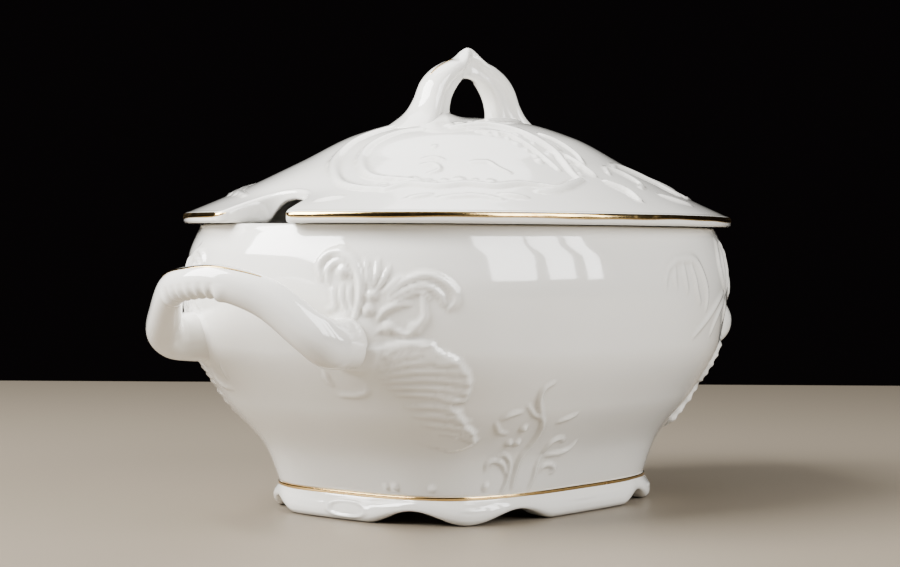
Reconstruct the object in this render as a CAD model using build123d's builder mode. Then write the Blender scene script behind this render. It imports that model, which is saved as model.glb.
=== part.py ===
"""Oval porcelain soup tureen: footed bowl with two side handles, and a lift-off lid with a loop knob.

Millimetres, +Z up. The origin is on the table under the middle of the bowl, X runs along the oval.
The ladle notch of the lid is at the -X end.
"""

import os
from math import cos, exp, pi, sin, sqrt

from build123d import *

# Bowl
MOUTH_LENGTH = 249.0
MOUTH_WIDTH = 186.0
BELLY_OUT_ENDS = 7.0  # how far the belly stands out past the mouth
BELLY_OUT_SIDES = 5.75
BELLY_BELOW_RIM = 24.0
RIM_HEIGHT = 118.0
RIM_ROUNDING = 1.2
WALL = 4.4
FLOOR = 5.5
LOWER_SWELL = 1.06  # how late the wall swells out above the foot
SHOULDER_TURN = 2.7  # how late the wall turns in towards the mouth
MOUTH_POWER = 2.12  # 2 is an ellipse, more is squarer

# Foot
FOOT_LENGTH = 157.2
FOOT_WIDTH = 119.2
FOOT_HEIGHT = 11.5
FOOT_WALL = 6.5
FOOT_FLARE = 2.6  # how far the toes stand out past the gold line
FOOT_POWER = 3.4
FOOT_POWER_FADE = 20.0  # height over which the squarish foot fades into the oval bowl
FOOT_NECK = 0.9  # how far the bowl steps in above the foot
ARCH_HEIGHT = 6.0
ARCH_WIDTH = 17.0
END_ARCH_FROM_AXIS = 36.4  # from the long axis to the arches beside the end toes
SIDE_ARCH_FROM_AXIS = 43.7  # from the short axis to the arches beside the side toes
END_ARCH_TURN = 30.0  # which way each arch runs, from the long axis
SIDE_ARCH_TURN = 60.0
ARCH_REACH = 30.0  # how far each arch is cut to either side of the foot's wall

# Handles
HANDLE_STAND_OFF = 31.5  # from the belly to the middle of the grip
HANDLE_ROOT_OUT = 43.0
HANDLE_ROOT_SINK = 19.5  # how far its ends run in past the belly before the wall trims them
GRIP_BELOW_RIM = 22.0
ROOT_BELOW_RIM = 45.0
GRIP_TALL = 6.6  # half sizes of the oval section
GRIP_THICK = 4.9
ROOT_TALL = 10.4
ROOT_THICK = 8.6

# Lid
LID_OVERHANG = 7.5  # past the mouth of the bowl
LID_SEAT_GAP = 0.2
LID_RIM = 3.5
LID_WALL = 4.4
DOME_HEIGHT = 42.8
DOME_STEEPNESS = 1.37  # more makes a sharper cone with a smaller crown
LID_POWER = 2.12
CROWN_SHARE = 0.12
FLANGE_CLEARANCE = 1.2
FLANGE_THICKNESS = 4.5
FLANGE_DEPTH = 7.0

# Ladle notch
NOTCH_MOUTH = 32.0
NOTCH_NECK = 26.0
NOTCH_DEPTH = 32.0
NOTCH_WALL = 4.0
NOTCH_FLARE = 3.0  # length over which its sides open out at the rim
NOTCH_RUN_OUT = 5.0  # how far the cut runs on past the rim

# Knob
KNOB_BASE = 74.0
KNOB_HEIGHT = 30.0  # above the crown
KNOB_BAND = 13.2  # from the crown up to where the arch thins into its tip
KNOB_OPENING = 41.0
KNOB_OPENING_HEIGHT = 17.0
KNOB_DEPTH = 15.0
KNOB_ROUNDING = 3.2
KNOB_SINK = 14.0  # how far its legs run down before the dome trims them

# Gold lines, modelled as shallow inlays
GOLD_WIDTH = 1.7
GOLD_THICKNESS = 0.5
GRIP_GOLD_SHARE = 0.55  # how much of the grip's middle carries gold

# Parts of a wall's thickness measured inward and downward on the sloping part of the bowl
SLOPE_IN = 0.85
SLOPE_DOWN = 0.6

# How finely the lofted shapes are drawn
OVAL_POINTS = 48
OUTER_LEVELS = 11
DOME_SECTIONS = 9

belly_length = MOUTH_LENGTH + 2 * BELLY_OUT_ENDS
belly_width = MOUTH_WIDTH + 2 * BELLY_OUT_SIDES
belly_z = RIM_HEIGHT - BELLY_BELOW_RIM
lid_seat_z = RIM_HEIGHT + LID_SEAT_GAP
gold_bottom_z = lid_seat_z + LID_RIM - GOLD_WIDTH
dome_base_z = lid_seat_z + LID_RIM
crown_z = dome_base_z + DOME_HEIGHT
foot_gold_z = FOOT_HEIGHT - GOLD_WIDTH
lid_length = MOUTH_LENGTH + 2 * LID_OVERHANG
lid_width = MOUTH_WIDTH + 2 * LID_OVERHANG
flange_length = MOUTH_LENGTH - 2 * (WALL + FLANGE_CLEARANCE)
flange_width = MOUTH_WIDTH - 2 * (WALL + FLANGE_CLEARANCE)


def oval(length, width, power):
    """Draws a closed oval of that length and width in the current sketch."""
    points = []
    for i in range(OVAL_POINTS):
        t = 2 * pi * i / OVAL_POINTS
        reach = (abs(cos(t)) ** power + abs(sin(t)) ** power) ** (-1 / power)
        points.append((length / 2 * reach * cos(t), width / 2 * reach * sin(t)))
    with BuildLine() as outline:
        Spline(*points, periodic=True)
    make_face(outline.line)


def bowl_power(z):
    """The squareness of the bowl's plan at a height."""
    fade = exp(-(z - FOOT_HEIGHT) / FOOT_POWER_FADE)
    return MOUTH_POWER + (FOOT_POWER - MOUTH_POWER) * fade


def bowl_size(z):
    """Outer length and width of the bowl at a height."""
    if z <= belly_z:
        rise = (z - FOOT_HEIGHT) / (belly_z - FOOT_HEIGHT)
        swell = sin(pi / 2 * max(rise, 0) ** LOWER_SWELL)
        neck_length = FOOT_LENGTH - 2 * FOOT_NECK
        neck_width = FOOT_WIDTH - 2 * FOOT_NECK
        return (
            neck_length + (belly_length - neck_length) * swell,
            neck_width + (belly_width - neck_width) * swell,
        )
    turn = ((z - belly_z) / (RIM_HEIGHT - belly_z)) ** SHOULDER_TURN
    return (
        belly_length + (MOUTH_LENGTH - belly_length) * turn,
        belly_width + (MOUTH_WIDTH - belly_width) * turn,
    )


def bowl_inside(z):
    """Inner length and width of the bowl at a height.

    Where the wall stands upright it is measured straight in; where it slopes, inward and down.
    """
    upright = [size - 2 * WALL for size in bowl_size(z)]
    sloping = [size - 2 * SLOPE_IN * WALL for size in bowl_size(z - SLOPE_DOWN * WALL)]
    return [min(pair) for pair in zip(upright, sloping)]


def dome_height(share):
    """Height of the dome above its base, at a share of the way from the crown to the rim."""
    blunt = (DOME_STEEPNESS**2 - 1) / 2
    return DOME_HEIGHT * (1 + blunt - sqrt(blunt**2 + (DOME_STEEPNESS * share) ** 2))


# The bowl without its hollow, which also trims the handles.
with BuildPart() as bowl_blank:
    for level in range(OUTER_LEVELS + 1):
        outer_z = FOOT_HEIGHT + (RIM_HEIGHT - FOOT_HEIGHT) * level / OUTER_LEVELS
        with BuildSketch(Plane.XY.offset(outer_z)):
            oval(*bowl_size(outer_z), bowl_power(outer_z))
    loft()

with BuildPart() as bowl_shell:
    add(bowl_blank.part)
    floor_z = FOOT_HEIGHT + FLOOR
    for level in range(OUTER_LEVELS + 1):
        inner_z = floor_z + (RIM_HEIGHT - floor_z) * level / OUTER_LEVELS
        with BuildSketch(Plane.XY.offset(inner_z)):
            oval(*bowl_inside(inner_z), bowl_power(inner_z))
    loft(mode=Mode.SUBTRACT)
    fillet(bowl_shell.faces().sort_by(Axis.Z)[-1].edges(), RIM_ROUNDING)

# Foot: a flared ring with eight low arches, which leave eight toes.
with BuildPart() as foot_ring:
    for flare_z, flare in ((0, 0.3), (FOOT_HEIGHT * 0.4, 1), (foot_gold_z, 0)):
        with BuildSketch(Plane.XY.offset(flare_z)):
            stand_out = 2 * FOOT_FLARE * flare
            oval(FOOT_LENGTH + stand_out, FOOT_WIDTH + stand_out, FOOT_POWER)
    loft()
    with BuildSketch(Plane.XY.offset(foot_gold_z)):
        oval(FOOT_LENGTH - 2 * GOLD_THICKNESS, FOOT_WIDTH - 2 * GOLD_THICKNESS, FOOT_POWER)
    extrude(amount=GOLD_WIDTH)
    with BuildSketch():
        oval(FOOT_LENGTH - 2 * FOOT_WALL, FOOT_WIDTH - 2 * FOOT_WALL, FOOT_POWER)
    extrude(amount=FOOT_HEIGHT, mode=Mode.SUBTRACT)
    end_arch = (FOOT_LENGTH / 2, END_ARCH_FROM_AXIS)
    side_arch = (SIDE_ARCH_FROM_AXIS, FOOT_WIDTH / 2)
    for x, y, turn in ((*end_arch, END_ARCH_TURN), (*side_arch, SIDE_ARCH_TURN)):
        for x_side, y_side in ((1, 1), (-1, 1), (-1, -1), (1, -1)):
            heading = (x_side * cos(turn * pi / 180), y_side * sin(turn * pi / 180), 0)
            start_x = x * x_side - ARCH_REACH * heading[0]
            start_y = y * y_side - ARCH_REACH * heading[1]
            along = (-heading[1], heading[0], 0)
            with BuildSketch(Plane(origin=(start_x, start_y, 0), x_dir=along, z_dir=heading)):
                Ellipse(ARCH_WIDTH / 2, ARCH_HEIGHT)
            extrude(amount=2 * ARCH_REACH, mode=Mode.SUBTRACT)

with BuildPart() as foot_gold_line:
    with BuildSketch(Plane.XY.offset(foot_gold_z)):
        oval(FOOT_LENGTH, FOOT_WIDTH, FOOT_POWER)
    extrude(amount=GOLD_WIDTH)
    with BuildSketch(Plane.XY.offset(foot_gold_z)):
        oval(FOOT_LENGTH - 2 * GOLD_THICKNESS, FOOT_WIDTH - 2 * GOLD_THICKNESS, FOOT_POWER)
    extrude(amount=GOLD_WIDTH, mode=Mode.SUBTRACT)

# Handles: a raised grip whose two ends sweep down and into the bowl's wall.
grip_x = belly_length / 2 + HANDLE_STAND_OFF
grip_z = RIM_HEIGHT - GRIP_BELOW_RIM
root_z = RIM_HEIGHT - ROOT_BELOW_RIM
root_end = HANDLE_STAND_OFF + HANDLE_ROOT_SINK
half_grip = (
    (grip_x, 0, grip_z, GRIP_THICK, GRIP_TALL),
    (grip_x - 2.5, 14, grip_z - 0.8, GRIP_THICK, GRIP_TALL),
    (grip_x - 11.5, 30, grip_z - 8, GRIP_THICK, GRIP_TALL + 0.4),
    (grip_x - 24, HANDLE_ROOT_OUT - 2, root_z + 4, GRIP_THICK + 1.6, ROOT_TALL - 2.2),
    (grip_x - 36, HANDLE_ROOT_OUT, root_z, ROOT_THICK - 0.6, ROOT_TALL - 0.4),
    (grip_x - root_end, HANDLE_ROOT_OUT - 3, root_z, ROOT_THICK, ROOT_TALL),
)
grip_path = [(-x, -y, z, thick, tall) for x, y, z, thick, tall in half_grip[:0:-1]]
grip_path += [(-x, y, z, thick, tall) for x, y, z, thick, tall in half_grip]
with BuildLine():
    grip_curve = Spline(*[point[:3] for point in grip_path])

grip_sections = []
for x, y, z, thick, tall in grip_path:
    tangent = grip_curve.tangent_at(grip_curve.param_at_point((x, y, z)))
    across = tangent.cross(Vector(0, 0, 1))
    grip_sections.append((Plane(origin=(x, y, z), x_dir=across, z_dir=tangent), thick, tall))

with BuildPart() as grip_blank:
    for square_to_grip, thick, tall in grip_sections:
        with BuildSketch(square_to_grip):
            Ellipse(thick, tall)
    loft()
    add(bowl_blank.part, mode=Mode.SUBTRACT)

with BuildPart() as grip_core:
    for square_to_grip, thick, tall in grip_sections:
        with BuildSketch(square_to_grip):
            Ellipse(thick - GOLD_THICKNESS, tall - GOLD_THICKNESS)
    loft()

# The gold runs along the top of the grip's middle.
gold_reach = HANDLE_ROOT_OUT * GRIP_GOLD_SHARE
with BuildPart() as grip_gold_cut:
    with BuildSketch(Plane.XY.offset(grip_z)):
        Rectangle(GOLD_WIDTH, 2 * gold_reach)
    extrude(amount=GRIP_TALL + 1)
grip_cut = grip_gold_cut.part.moved(Location((-grip_x + 1.2, 0, 0)))

with BuildPart() as left_handle_gold_line:
    add(grip_blank.part)
    add(grip_cut, mode=Mode.INTERSECT)
    add(grip_core.part, mode=Mode.SUBTRACT)

with BuildPart() as left_handle:
    add(grip_blank.part)
    add(left_handle_gold_line.part, mode=Mode.SUBTRACT)

with BuildPart() as right_handle:
    mirror(left_handle.part, about=Plane.YZ)

with BuildPart() as right_handle_gold_line:
    mirror(left_handle_gold_line.part, about=Plane.YZ)

# The notch's plan: a round-ended slot that widens towards the rim.
with BuildSketch(Plane.XY.offset(lid_seat_z - FLANGE_DEPTH)) as notch_plan:
    with BuildLine():
        rim_x = -lid_length / 2
        neck_x = rim_x + NOTCH_DEPTH - NOTCH_NECK / 2
        flared = Polyline(
            (neck_x, -NOTCH_NECK / 2),
            (rim_x + NOTCH_FLARE, -NOTCH_MOUTH / 2 + 1),
            (rim_x - NOTCH_RUN_OUT, -NOTCH_MOUTH / 2 - 2),
            (rim_x - NOTCH_RUN_OUT, NOTCH_MOUTH / 2 + 2),
            (rim_x + NOTCH_FLARE, NOTCH_MOUTH / 2 - 1),
            (neck_x, NOTCH_NECK / 2),
        )
        ThreePointArc(flared @ 1, (neck_x + NOTCH_NECK / 2, 0), flared @ 0)
    make_face()
with BuildPart() as notch_cut:
    extrude(notch_plan.sketch, amount=FLANGE_DEPTH + DOME_HEIGHT)

# The lid without its hollow, which also trims the knob.
with BuildPart() as lid_blank:
    with BuildSketch(Plane.XY.offset(lid_seat_z)):
        oval(lid_length, lid_width, LID_POWER)
    extrude(amount=LID_RIM - GOLD_WIDTH)
    fillet(lid_blank.edges().sort_by(Axis.Z)[0], RIM_ROUNDING)
    with BuildSketch(Plane.XY.offset(gold_bottom_z)):
        oval(lid_length - 2 * GOLD_THICKNESS, lid_width - 2 * GOLD_THICKNESS, LID_POWER)
    extrude(amount=GOLD_WIDTH)
    for level in range(DOME_SECTIONS + 1):
        share = 1 - (1 - CROWN_SHARE) * level / DOME_SECTIONS
        with BuildSketch(Plane.XY.offset(dome_base_z + dome_height(share))):
            dome_length = (lid_length - 2 * GOLD_THICKNESS) * share
            dome_width = (lid_width - 2 * GOLD_THICKNESS) * share
            oval(dome_length, dome_width, LID_POWER)
    loft()

# The hollow under the dome, with a wall kept on each side of the notch.
hollow_length = flange_length - 2 * FLANGE_THICKNESS
hollow_width = flange_width - 2 * FLANGE_THICKNESS
hollow_share = hollow_length / lid_length
with BuildPart() as lid_hollow:
    for level in range(DOME_SECTIONS + 1):
        share = hollow_share + (CROWN_SHARE - hollow_share) * level / DOME_SECTIONS
        with BuildSketch(Plane.XY.offset(dome_base_z + dome_height(share) - LID_WALL)):
            oval(hollow_length * share / hollow_share, hollow_width * share / hollow_share, LID_POWER)
    loft()
    hollow_top = dome_base_z + dome_height(hollow_share) - LID_WALL
    with BuildSketch(Plane.XY.offset(lid_seat_z)):
        oval(hollow_length, hollow_width, LID_POWER)
    extrude(amount=hollow_top - lid_seat_z)
    with BuildSketch(Plane.XY.offset(lid_seat_z)):
        offset(notch_plan.sketch.moved(Location((0, 0, FLANGE_DEPTH))), amount=NOTCH_WALL)
    extrude(amount=DOME_HEIGHT, mode=Mode.SUBTRACT)

with BuildPart() as lid_shell:
    add(lid_blank.part)
    add(lid_hollow.part, mode=Mode.SUBTRACT)
    add(notch_cut.part, mode=Mode.SUBTRACT)

with BuildPart() as lid_gold_line:
    with BuildSketch(Plane.XY.offset(gold_bottom_z)):
        oval(lid_length, lid_width, LID_POWER)
    extrude(amount=GOLD_WIDTH)
    with BuildSketch(Plane.XY.offset(gold_bottom_z)):
        oval(lid_length - 2 * GOLD_THICKNESS, lid_width - 2 * GOLD_THICKNESS, LID_POWER)
    extrude(amount=GOLD_WIDTH, mode=Mode.SUBTRACT)
    add(notch_cut.part, mode=Mode.SUBTRACT)

with BuildPart() as lid_flange:
    with BuildSketch(Plane.XY.offset(lid_seat_z - FLANGE_DEPTH)):
        oval(flange_length, flange_width, LID_POWER)
    extrude(amount=FLANGE_DEPTH)
    with BuildSketch(Plane.XY.offset(lid_seat_z - FLANGE_DEPTH)):
        oval(hollow_length, hollow_width, LID_POWER)
    extrude(amount=FLANGE_DEPTH, mode=Mode.SUBTRACT)
    add(notch_cut.part, mode=Mode.SUBTRACT)

# Knob: an arch along the lid with a pointed tip, flaring into the dome at its two feet.
tip_z = crown_z + KNOB_HEIGHT
band_z = crown_z + KNOB_BAND
foot_z = crown_z - KNOB_SINK
opening_z = crown_z + KNOB_OPENING_HEIGHT
with BuildPart() as knob_blank:
    with BuildSketch(Plane.XZ):
        with BuildLine():
            right = Spline(
                (KNOB_BASE / 2 + 6, foot_z),
                (KNOB_BASE / 2 - 7.5, band_z - 4.5),
                (KNOB_BASE / 2 - 17, tip_z - 11),
                (5.5, tip_z - 4.6),
                (0, tip_z),
            )
            left = Spline(
                (0, tip_z),
                (-5.5, tip_z - 4.6),
                (17 - KNOB_BASE / 2, tip_z - 11),
                (7.5 - KNOB_BASE / 2, band_z - 4.5),
                (-KNOB_BASE / 2 - 6, foot_z),
            )
            Line(left @ 1, right @ 0)
        make_face()
        with BuildLine():
            arch = Spline(
                (KNOB_OPENING / 2, crown_z + 2),
                (KNOB_OPENING / 2 - 3.5, opening_z - 6.5),
                (0, opening_z),
                (3.5 - KNOB_OPENING / 2, opening_z - 6.5),
                (-KNOB_OPENING / 2, crown_z + 2),
            )
            Polyline(arch @ 1, (-KNOB_OPENING / 2, foot_z), (KNOB_OPENING / 2, foot_z), arch @ 0)
        make_face(mode=Mode.SUBTRACT)
    extrude(amount=KNOB_DEPTH / 2, both=True)
    side_edges = knob_blank.faces().filter_by(Axis.Y).edges().filter_by(GeomType.BSPLINE)
    fillet(side_edges, KNOB_ROUNDING)
    add(lid_blank.part, mode=Mode.SUBTRACT)

# The gold runs up one shoulder of the arch, over its tip and down the other.
with BuildPart() as knob_gold_line:
    add(knob_blank.part)
    with BuildSketch(Plane.XY.offset(band_z)):
        Rectangle(KNOB_BASE, GOLD_WIDTH)
    extrude(amount=KNOB_HEIGHT, mode=Mode.INTERSECT)
    add(knob_blank.part.moved(Location((0, 0, -GOLD_THICKNESS))), mode=Mode.SUBTRACT)

with BuildPart() as lid_knob:
    add(knob_blank.part)
    add(knob_gold_line.part, mode=Mode.SUBTRACT)

pieces = {
    "bowl_shell": bowl_shell,
    "foot_ring": foot_ring,
    "foot_gold_line": foot_gold_line,
    "left_handle": left_handle,
    "left_handle_gold_line": left_handle_gold_line,
    "right_handle": right_handle,
    "right_handle_gold_line": right_handle_gold_line,
    "lid_shell": lid_shell,
    "lid_flange": lid_flange,
    "lid_gold_line": lid_gold_line,
    "lid_knob": lid_knob,
    "knob_gold_line": knob_gold_line,
}
os.makedirs("parts", exist_ok=True)
for name, piece in pieces.items():
    piece.part.label = name
    export_step(piece.part, f"parts/{name}.step")
    print(name, len(piece.part.solids()), "solid(s)", round(piece.part.volume), "mm3")
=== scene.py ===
# Oval porcelain soup tureen: bowl with cast relief, scalloped foot, loop handles, notched lid and gold lines.
# Shapes are worked out in millimetres and turned to metres when a mesh is made.
import math

import bpy
import numpy as np
from mathutils import Matrix, Vector


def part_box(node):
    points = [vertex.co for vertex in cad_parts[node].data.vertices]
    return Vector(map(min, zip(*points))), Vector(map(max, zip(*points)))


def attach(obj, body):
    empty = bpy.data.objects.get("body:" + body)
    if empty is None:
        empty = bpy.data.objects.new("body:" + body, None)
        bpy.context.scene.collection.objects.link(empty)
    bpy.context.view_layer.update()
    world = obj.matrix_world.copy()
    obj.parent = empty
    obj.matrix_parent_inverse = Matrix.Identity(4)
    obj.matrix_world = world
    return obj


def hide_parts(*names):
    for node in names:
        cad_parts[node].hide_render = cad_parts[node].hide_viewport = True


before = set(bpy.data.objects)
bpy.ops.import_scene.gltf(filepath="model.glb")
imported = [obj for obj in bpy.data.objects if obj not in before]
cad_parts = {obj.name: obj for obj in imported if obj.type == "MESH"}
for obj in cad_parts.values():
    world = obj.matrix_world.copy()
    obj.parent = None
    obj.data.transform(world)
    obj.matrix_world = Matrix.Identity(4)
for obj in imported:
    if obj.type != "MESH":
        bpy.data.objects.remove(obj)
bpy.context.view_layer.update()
mm = 0.001


def nodeBox(node):  # lowest and highest corner of a CAD node, in millimetres
    low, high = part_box(node)
    return np.array(low) / mm, np.array(high) / mm


bowlLow, bowlHigh = nodeBox("bowl_shell")
lidLow, lidHigh = nodeBox("lid_shell")
footGoldLow, footGoldHigh = nodeBox("foot_gold_line")
lidGoldLow, lidGoldHigh = nodeBox("lid_gold_line")
flangeHigh, footHigh, knobHigh, handleHigh = (
    nodeBox(node)[1] for node in ("lid_flange", "foot_ring", "lid_knob", "right_handle")
)


def smoothValue(x, knots, values, flatStart=False):  # a smooth curve through a few points, with no overshoot
    knots, values = np.asarray(knots, float), np.asarray(values, float)
    gaps = np.diff(knots)
    slopes = np.diff(values) / gaps
    tangents = np.zeros(len(knots))
    for i in range(1, len(knots) - 1):
        if slopes[i - 1] * slopes[i] > 0:
            before, after = 2 * gaps[i] + gaps[i - 1], gaps[i] + 2 * gaps[i - 1]
            tangents[i] = (before + after) / (before / slopes[i - 1] + after / slopes[i])
    tangents[0] = 0 if flatStart else slopes[0]
    tangents[-1] = slopes[-1]
    x = np.clip(x, knots[0], knots[-1])
    i = np.clip(np.searchsorted(knots, x, side="right") - 1, 0, len(gaps) - 1)
    t = (x - knots[i]) / gaps[i]
    return (
        values[i] * (1 + 2 * t) * (1 - t) ** 2
        + values[i + 1] * t * t * (3 - 2 * t)
        + gaps[i] * (tangents[i] * t * (1 - t) ** 2 - tangents[i + 1] * t * t * (1 - t))
    )


def ease(t):  # 0 to 1 with soft ends
    t = np.clip(t, 0, 1)
    return t * t * (3 - 2 * t)


def smoothPath(points, steps=8):  # a rounded line through the points, open at both ends
    p = np.asarray(points, float)
    p = np.vstack([2 * p[0] - p[1], p, 2 * p[-1] - p[-2]])
    t = np.linspace(0, 1, steps, endpoint=False)[:, None]
    runs = []
    for a, b, c, d in zip(p[:-3], p[1:-2], p[2:-1], p[3:]):
        runs.append(
            0.5 * (2 * b + (c - a) * t + (2 * a - 5 * b + 4 * c - d) * t**2 + (3 * b - a - 3 * c + d) * t**3)
        )
    return np.vstack(runs + [p[-2:-1]])


def lengthAlong(points):  # length of the line up to each of its points
    return np.concatenate([[0], np.cumsum(np.linalg.norm(np.diff(points, axis=0), axis=1))])


def evenly(points, count):  # the same line, redrawn with evenly spaced points
    along = lengthAlong(points)
    where = np.linspace(0, along[-1], count)
    return np.stack([np.interp(where, along, points[:, k]) for k in range(points.shape[1])], axis=1)


def oval(turn, halfLength, halfWidth, power):  # a point of the oval at each turn, in radians from +X
    c, s = np.cos(turn), np.sin(turn)
    reach = (np.abs(c) ** power + np.abs(s) ** power) ** (-1 / power)
    return halfLength * reach * c, halfWidth * reach * s


def ovalShare(x, y, halfLength, halfWidth, power):  # 0 at the oval's middle, 1 on its edge
    return ((np.abs(x) / halfLength) ** power + (np.abs(y) / halfWidth) ** power) ** (1 / power)


def evenTurns(count, halfLength, halfWidth, power):  # turns whose points are evenly spaced round the oval
    turn = np.linspace(0, 2 * math.pi, 8001)
    along = lengthAlong(np.column_stack(oval(turn, halfLength, halfWidth, power)))
    return np.interp(np.arange(count) / count * along[-1], along, turn)


def unit(vectors):
    return vectors / np.maximum(np.linalg.norm(vectors, axis=-1, keepdims=True), 1e-9)


def gridNormals(grid, closed=True):  # unit normals of a grid of points, rows by columns
    if closed:
        across = np.roll(grid, -1, axis=1) - np.roll(grid, 1, axis=1)
    else:
        across = np.gradient(grid, axis=1)
    return unit(np.cross(across, np.gradient(grid, axis=0)))


def gridFaces(rows, columns, closed=True, loop=False):
    i = np.arange(rows if loop else rows - 1)[:, None]
    j = np.arange(columns if closed else columns - 1)[None, :]
    nextRow, nextColumn = (i + 1) % rows, (j + 1) % columns
    here, beyond = i * columns, nextRow * columns
    corners = [here + j, here + nextColumn, beyond + nextColumn, beyond + j]
    return np.stack([np.broadcast_to(c, (i.size, j.size)) for c in corners], axis=2).reshape(-1, 4)


def addPiece(name, points, quads, triangles, slotName, body):
    points = np.asarray(points, float)
    a, b, c, d = (points[quads[:, k]] for k in range(4))
    volume = np.sum(a * (np.cross(b, c) + np.cross(c, d)))
    if len(triangles):
        a, b, c = (points[triangles[:, k]] for k in range(3))
        volume += np.sum(a * np.cross(b, c))
    faces = quads.tolist() + [list(t) for t in np.asarray(triangles).tolist()]
    if volume < 0:
        faces = [face[::-1] for face in faces]
    mesh = bpy.data.meshes.new(name)
    mesh.from_pydata((points * mm).tolist(), [], faces)
    mesh.update()
    mesh.shade_smooth()
    mesh.materials.append(materials[slotName])
    piece = bpy.data.objects.new(name, mesh)
    bpy.context.scene.collection.objects.link(piece)
    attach(piece, body)
    return piece


def joined(pieces, name):  # several pieces as one
    with bpy.context.temp_override(active_object=pieces[0], selected_editable_objects=pieces):
        bpy.ops.object.join()
    pieces[0].name = name
    pieces[0].data.name = name
    return pieces[0]


def addRings(name, grid, slotName, body, poles=None):  # rings skinned over, with a pole at each end
    rows, columns = grid.shape[:2]
    startPole, endPole = poles or (grid[0].mean(axis=0), grid[-1].mean(axis=0))
    points = np.vstack([grid.reshape(-1, 3), startPole, endPole])
    j = np.arange(columns)
    nextColumn = (j + 1) % columns
    first, last = rows * columns, rows * columns + 1
    start = np.stack([np.full(columns, first), nextColumn, j], axis=1)
    lastRow = (rows - 1) * columns
    end = np.stack([np.full(columns, last), lastRow + j, lastRow + nextColumn], axis=1)
    return addPiece(name, points, gridFaces(rows, columns), np.vstack([start, end]), slotName, body)


def addHoop(name, grid, slotName, body):  # a ring whose section closes on itself
    quads = gridFaces(*grid.shape[:2], loop=True)
    return addPiece(name, grid.reshape(-1, 3), quads, np.zeros((0, 3), int), slotName, body)


gilding = {
    "proud": 0.14,  # how far the gold stands up from the glaze
    "sunk": 0.35,
}


def addStrip(name, path, normals, halfWidth, body, closed=False, proud=gilding["proud"]):
    # a low rounded band of gold along a line on the glaze
    along = np.roll(path, -1, axis=0) - np.roll(path, 1, axis=0) if closed else np.gradient(path, axis=0)
    sideways = unit(np.cross(unit(along), normals))
    widths = np.broadcast_to(halfWidth, len(path))
    u = np.cos(np.linspace(math.pi, 0, 9))
    section = [(s, proud * math.sqrt(max(1 - s**4, 0))) for s in u]
    section += [(0.8, -gilding["sunk"]), (-0.8, -gilding["sunk"])]
    rows = [path + sideways * (s * widths)[:, None] + normals * rise for s, rise in section]
    if closed:
        return addHoop(name, np.stack(rows), "gold", body)
    return addRings(name, np.stack(rows, axis=1), "gold", body)


def addInlay(name, patch, facing, body):
    # a thin skin of gold over a patch of the glaze, rounded off at its two long edges
    across = np.linspace(-1, 1, len(patch))
    rise = gilding["proud"] * np.sqrt(np.maximum(1 - across**4, 0)) - 0.01
    over = patch + facing * rise[:, None, None]
    beneath = (patch - facing * gilding["sunk"])[-2:0:-1]
    return addRings(name, np.concatenate([over, beneath]).transpose(1, 0, 2), "gold", body)


def nearestOn(points, path):  # each point's distance from the line, and how far along the line that is
    best, share = np.full(len(points), 1e9), np.zeros(len(points))
    for k, (a, b) in enumerate(zip(path[:-1], path[1:])):
        step = b - a
        t = np.clip((points - a) @ step / max(step @ step, 1e-9), 0, 1)
        away = np.linalg.norm(points - a - t[:, None] * step, axis=1)
        closer = away < best
        best[closer] = away[closer]
        share[closer] = (k + t[closer]) / (len(path) - 1)
    return best, share


def strokeHeight(points, path, halfWidth, height, pointed=0.5, sharp=1.4):
    # a raised stroke: how far each point is lifted, by its distance from the stroke's middle line
    lift = np.zeros(len(points))
    near = np.all((points > path.min(axis=0) - halfWidth) & (points < path.max(axis=0) + halfWidth), axis=1)
    away, share = nearestOn(points[near], path)
    swell = (1 - pointed) + pointed * np.sin(math.pi * share) ** 0.7
    lift[near] = height * swell * np.clip(1 - (away / (halfWidth * swell)) ** 2, 0, 1) ** sharp
    return lift


def dotHeight(points, centre, radius, height):
    away = np.linalg.norm(points - centre, axis=1)
    return height * np.clip(1 - (away / radius) ** 2, 0, 1) ** 0.9


def insideOutline(x, y, outline):
    inside = np.zeros(len(x), bool)
    for (x0, y0), (x1, y1) in zip(outline, np.roll(outline, -1, axis=0)):
        crosses = (y0 > y) != (y1 > y)
        inside ^= crosses & (x < (x1 - x0) * (y - y0) / (y1 - y0 + 1e-12) + x0)
    return inside


print("curves and mesh helpers ready")


class Wire:  # one socket of a material; sums on it add Math nodes
    def __init__(self, graph, socket):
        self.graph = graph
        self.socket = socket

    def maths(self, operation, first, second):
        node = self.graph.node("ShaderNodeMath", {"operation": operation}, {0: first, 1: second})
        return Wire(self.graph, node.outputs[0])

    def __add__(self, other):
        return self.maths("ADD", self, other)

    def __radd__(self, other):
        return self.maths("ADD", other, self)

    def __sub__(self, other):
        return self.maths("SUBTRACT", self, other)

    def __rsub__(self, other):
        return self.maths("SUBTRACT", other, self)

    def __mul__(self, other):
        return self.maths("MULTIPLY", self, other)

    def __rmul__(self, other):
        return self.maths("MULTIPLY", other, self)


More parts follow.
